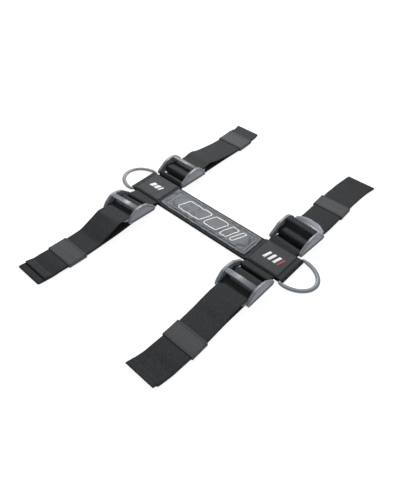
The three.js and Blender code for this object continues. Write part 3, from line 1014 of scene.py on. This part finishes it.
def apply_modifiers(obj):
    graph = bpy.context.evaluated_depsgraph_get()
    mesh = bpy.data.meshes.new_from_object(obj.evaluated_get(graph))
    old = obj.data
    obj.modifiers.clear()
    obj.data = mesh
    bpy.data.meshes.remove(old)


def puff(obj, held, cap):
    """Blows a closed shell up against the points held by its rim and seam, by at most cap mm."""
    scene = bpy.context.scene
    before = [v.co.copy() for v in obj.data.vertices]
    cloth = obj.modifiers.new("puff", "CLOTH")
    settings = dict(
        quality=6, mass=0.2, tension_stiffness=30, compression_stiffness=30, shear_stiffness=8,
        bending_stiffness=0.2, use_pressure=True, uniform_pressure_force=4, shrink_min=-0.03,
        vertex_group_mass=held.name,
    )
    for key, value in settings.items():
        setattr(cloth.settings, key, value)
    cloth.settings.effector_weights.gravity = 0
    last = 20
    cloth.point_cache.frame_start = 1
    cloth.point_cache.frame_end = last
    for step in range(1, last + 1):
        scene.frame_set(step)
    graph = bpy.context.evaluated_depsgraph_get()
    puffed = [v.co.copy() for v in obj.evaluated_get(graph).data.vertices]
    obj.modifiers.clear()
    scene.frame_set(1)
    for v, rest, now in zip(obj.data.vertices, before, puffed):
        move = now - rest
        if move.length > cap * MM:
            move *= cap * MM / move.length
        v.co = rest + move


def surface_finder(obj):
    """Gives the height of a piece's top in mm at a place in plan."""
    graph = bpy.context.evaluated_depsgraph_get()
    tree = BVHTree.FromObject(obj, graph)

    def height(x, y):
        hit = tree.ray_cast(Vector((x, y, 50)) * MM, Vector((0, 0, -1)))
        return hit[0].z / MM if hit[0] else COVER_TOP

    return height


def print_line(outline, width, thickness, height):
    """A raised printed line along a closed outline in plan, draped over a surface."""
    line = divided(outline, 1.2, closed=True)
    n = len(line)
    vertices = []
    section = [(-0.5, -0.3), (-0.5, 0.55), (-0.3, 1), (0.3, 1), (0.5, 0.55), (0.5, -0.3)]
    for i, p in enumerate(line):
        along = (line[(i + 1) % n] - line[i - 1]).normalized()
        normal = Vector((-along.y, along.x))
        for a, b in section:
            at = p + normal * a * width
            vertices.append(Vector((at.x, at.y, height(p.x, p.y) + b * thickness)) * MM)
    return vertices, ring_faces(n, len(section), closed=True)


def slanted(cx, length, height, lean, r):
    """A leaning bar's outline in plan."""
    half, h = length / 2, height / 2
    ends = [(-half - lean, -h), (half - lean, -h), (half + lean, h), (-half + lean, h)]
    return rounded([(cx + x, y, r) for x, y in ends], True, step=math.pi / 16)


def cover_motif(height, finish):
    """A generic motif of leaning outlined bars, each shorter than the one before."""
    parts = []
    for cx, length, r in MOTIF["bars"]:
        outline = slanted(cx, length, MOTIF["height"], MOTIF["lean"], r)
        parts.append(print_line(outline, MOTIF["line"], 0.22, height))
    made = joined("cover_motif", parts, finish)
    fix_normals(made)
    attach(made, "frame")


def cover_seam(height, finish):
    length, width = (COVER[k] - 2 * SEAM_INSET for k in ("length", "width"))
    outline = soft_rectangle(length, width, 3, step=math.pi / 18)
    outline.append(outline[0])
    outline = [Vector((reaching(p.x), p.y)) for p in divided(outline, 3)]
    route = [Vector((p.x, p.y, height(p.x, p.y) + 0.12)) for p in outline]
    parts = seam(route, 3.4, share=0.7, radius=0.4)
    made = joined("cover_stitches", parts, finish)
    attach(made, "frame")


# ---- junctions ----


def filled(outline, low, high, crown):
    """A thin patch from a closed outline in plan, its edge rounded over."""
    return stacked(outline, [(0, low), (0, high - 0.25), (0.25, high - 0.06), (0.8, high + crown)])


def label(side, name, finish, threads):
    """A sewn label, puckered along its rim, with its stitches and its woven bars."""
    cx = side * LABEL["centre"]
    length, width = LABEL["length"], LABEL["width"]
    columns, rows = 30, 28
    vertices, strip = [], []
    phase = random.Random(name).uniform(0, 6.28)
    for z_low in (False, True):
        for i in range(columns + 1):
            for j in range(rows + 1):
                u, v = 2 * i / columns - 1, 2 * j / rows - 1
                x, y = u * length / 2, v * width / 2
                edge = min(length / 2 - abs(x), width / 2 - abs(y))
                pucker = 0.10 * math.exp(-((edge - 1.6) ** 2)) * math.sin((x + y) * 1.5 + phase)
                groove = -0.16 * math.exp(-(((edge - LABEL_SEAM) / 0.7) ** 2))
                z = LABEL_LOW if z_low else LABEL_TOP - 0.1 + pucker + groove
                if edge < 0.01 and not z_low:
                    z -= 0.3
                vertices.append(Vector((cx + x, y, z)) * MM)
                strip.append(((cx + x) * MM, y * MM))
    made = mesh_object(f"label_panel_{name}", vertices, two_sided(columns, rows), finish, strip)
    fix_normals(made)
    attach(made, "frame")
    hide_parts(f"label_{name}")
    route = rectangle_route(cx, length - 2 * LABEL_SEAM, width - 2 * LABEL_SEAM, LABEL_TOP)
    stitches = joined(f"label_stitches_{name}", seam(route, 2.9, radius=0.28), threads["dark"])
    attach(stitches, "frame")
    bars = LABEL_BARS[name]
    for k, (dx, wide, colour) in enumerate(bars["bars"]):
        outline = slanted(cx + dx, wide, bars["height"], 1.9, 0.8)
        patch = filled(outline, LABEL_TOP - 0.3, LABEL_TOP + 0.28, 0.08)
        mark = joined(f"label_mark_{name}_{k}", [patch], threads[colour])
        fix_normals(mark)
        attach(mark, "frame")


def anchor_half(arm):
    """The anchor strap's corners from the lower run, round a fixed bar, to the upper run."""
    bar = Vector(arm["seat"])
    loop = FIXED_R + GAP + WEB_T / 2
    out = (bar - Vector((CLEAR_S, (ANCHOR_LOW_Z + ANCHOR_HIGH_Z) / 2))).normalized() * loop
    up = Vector((-out.y, out.x))
    corners = [(-1, -1, 1.5), (1, -1, loop), (1, 1, loop), (-1, 1, 1.5)]
    turned = [(*(bar + out * a + up * b), radius) for a, b, radius in corners]
    return [(CLEAR_S, ANCHOR_LOW_Z, 1.5), *turned, (CLEAR_S, ANCHOR_HIGH_Z, 1.5)]


def anchor_strap(side, name, finish, dark):
    """The closed loop round two fixed bars, the side strap in it and the ring fold's stitches."""
    front, rear = ARMS[f"front_{name}"], ARMS[f"rear_{name}"]
    ahead, behind = course_of(front), course_of(rear)
    corners = anchor_half(rear) + [(-a, b, r) for a, b, r in reversed(anchor_half(front))]
    line = divided(spaced(rounded(corners, True)), 2.4, closed=True)

    def place(across, out, height):
        shift, skew = behind(out) if out > 0 else (0, ahead(-out)[1])
        return Vector((side * JUNCTION_X + across + shift, out + across * skew, height)) * MM

    made = strip_object(f"anchor_webbing_{name}", line, ANCHOR_W, WEB_T, place, finish, closed=True)
    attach(made, "frame")
    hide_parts(f"anchor_strap_{name}")
    top = JUNCTION_Z + WEB_T / 2
    parts = []
    for x in FOLD_TACKS["rows"]:
        ends = [Vector((side * x, y, top)) for y in (-FOLD_TACKS["half"], FOLD_TACKS["half"])]
        parts += seam(ends, 1.5, share=0.8, radius=0.3)
    tacks = joined(f"fold_stitches_{name}", parts, dark)
    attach(tacks, "frame")
    flat = divided([Vector((-SIDE_HALF, SIDE_Z)), Vector((SIDE_HALF, SIDE_Z))], 2.4)
    core = strip_object(f"side_webbing_{name}", flat, WEB_W, WEB_T, place, finish)
    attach(core, "frame")
    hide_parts(f"side_strap_{name}")


def d_ring(side, name, finish):
    """The bent rod, with the fine parting line of its mould running round it."""
    half_bar, corner, depth, rod = (RING[k] for k in ("half_bar", "corner", "depth", "rod"))
    centreline, tangents = [], []

    def arc(cx, cy, rx, ry, a0, a1, count):
        for k in range(count):
            a = a0 + (a1 - a0) * k / count
            centreline.append(Vector((cx + rx * math.cos(a), cy + ry * math.sin(a))))
            tangents.append(Vector((-rx * math.sin(a), ry * math.cos(a))).normalized())

    for k in range(20):
        centreline.append(Vector((0, half_bar - 2 * half_bar * k / 20)))
        tangents.append(Vector((0, -1)))
    arc(corner, -half_bar, corner, corner, math.pi, 1.5 * math.pi, 10)
    arc(corner, 0, depth - corner, half_bar + corner, -math.pi / 2, math.pi / 2, 96)
    arc(corner, half_bar, corner, corner, math.pi / 2, math.pi, 10)
    around = 28
    droop = Matrix.Rotation(math.radians(RING["droop"]), 4, "Y")
    turn = Matrix.Rotation(0 if side > 0 else math.pi, 4, "Z")
    shift = Matrix.Translation((side * RING["bar"], 0, LOW_Z + LOOP_R))
    matrix = Matrix.Scale(MM, 4) @ shift @ turn @ droop
    vertices = []
    for p, t in zip(centreline, tangents):
        normal = Vector((t.y, -t.x))
        for k in range(around):
            angle = 2 * math.pi * k / around
            ridge = 0.10 if k % (around // 2) == 0 else 0.0
            half_width = rod + (RING["bow"] - rod) * smoothstep(p.x, corner, corner + 8)
            out = normal * math.cos(angle) * (half_width + ridge)
            vertices.append(matrix @ Vector((p.x + out.x, p.y + out.y, math.sin(angle) * rod)))
    faces = ring_faces(len(centreline), around, closed=True)
    made = mesh_object(f"ring_rod_{name}", vertices, faces, finish)
    fix_normals(made)
    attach(made, f"d_ring_{name}")
    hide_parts(f"d_ring_{name}")


# ---- assembly ----

make_camera()
make_stage()

black = webbing("webbing_black", (0.0178, 0.0192, 0.0212))
grey_elastic = elastic()
label_cloth = woven_label()
leather = cover_leather()
plastic = moulded("buckle_nylon", (0.190, 0.210, 0.232))
white_thread = thread("thread_white", (0.86, 0.86, 0.86))
red_thread = thread("thread_red", (0.62, 0.035, 0.05))
black_thread = thread("thread_dark", (0.016, 0.017, 0.02))
grey_thread = thread("thread_grey", (0.06, 0.065, 0.072))
label_threads = {"pale": white_thread, "accent": red_thread, "dark": grey_thread}
foam = foam_finish()

centre_strap(black)
foam_core(foam)
cover = pad_cover(leather)
cover_height = surface_finder(cover)
cover_motif(cover_height, white_thread)
cover_seam(cover_height, black_thread)

for side, name in ((-1, "left"), (1, "right")):
    label(side, name, label_cloth, label_threads)
    anchor_strap(side, name, black, grey_thread)
    d_ring(side, name, plastic)

shell = buckle_mesh(plastic)
for name, arm in ARMS.items():
    buckle(name, arm, shell)
    line = arm_strap(name, arm, black)
    tail_hem(name, arm, line, black, grey_thread)
    keeper(name, arm, grey_elastic)
bpy.data.objects.remove(shell)
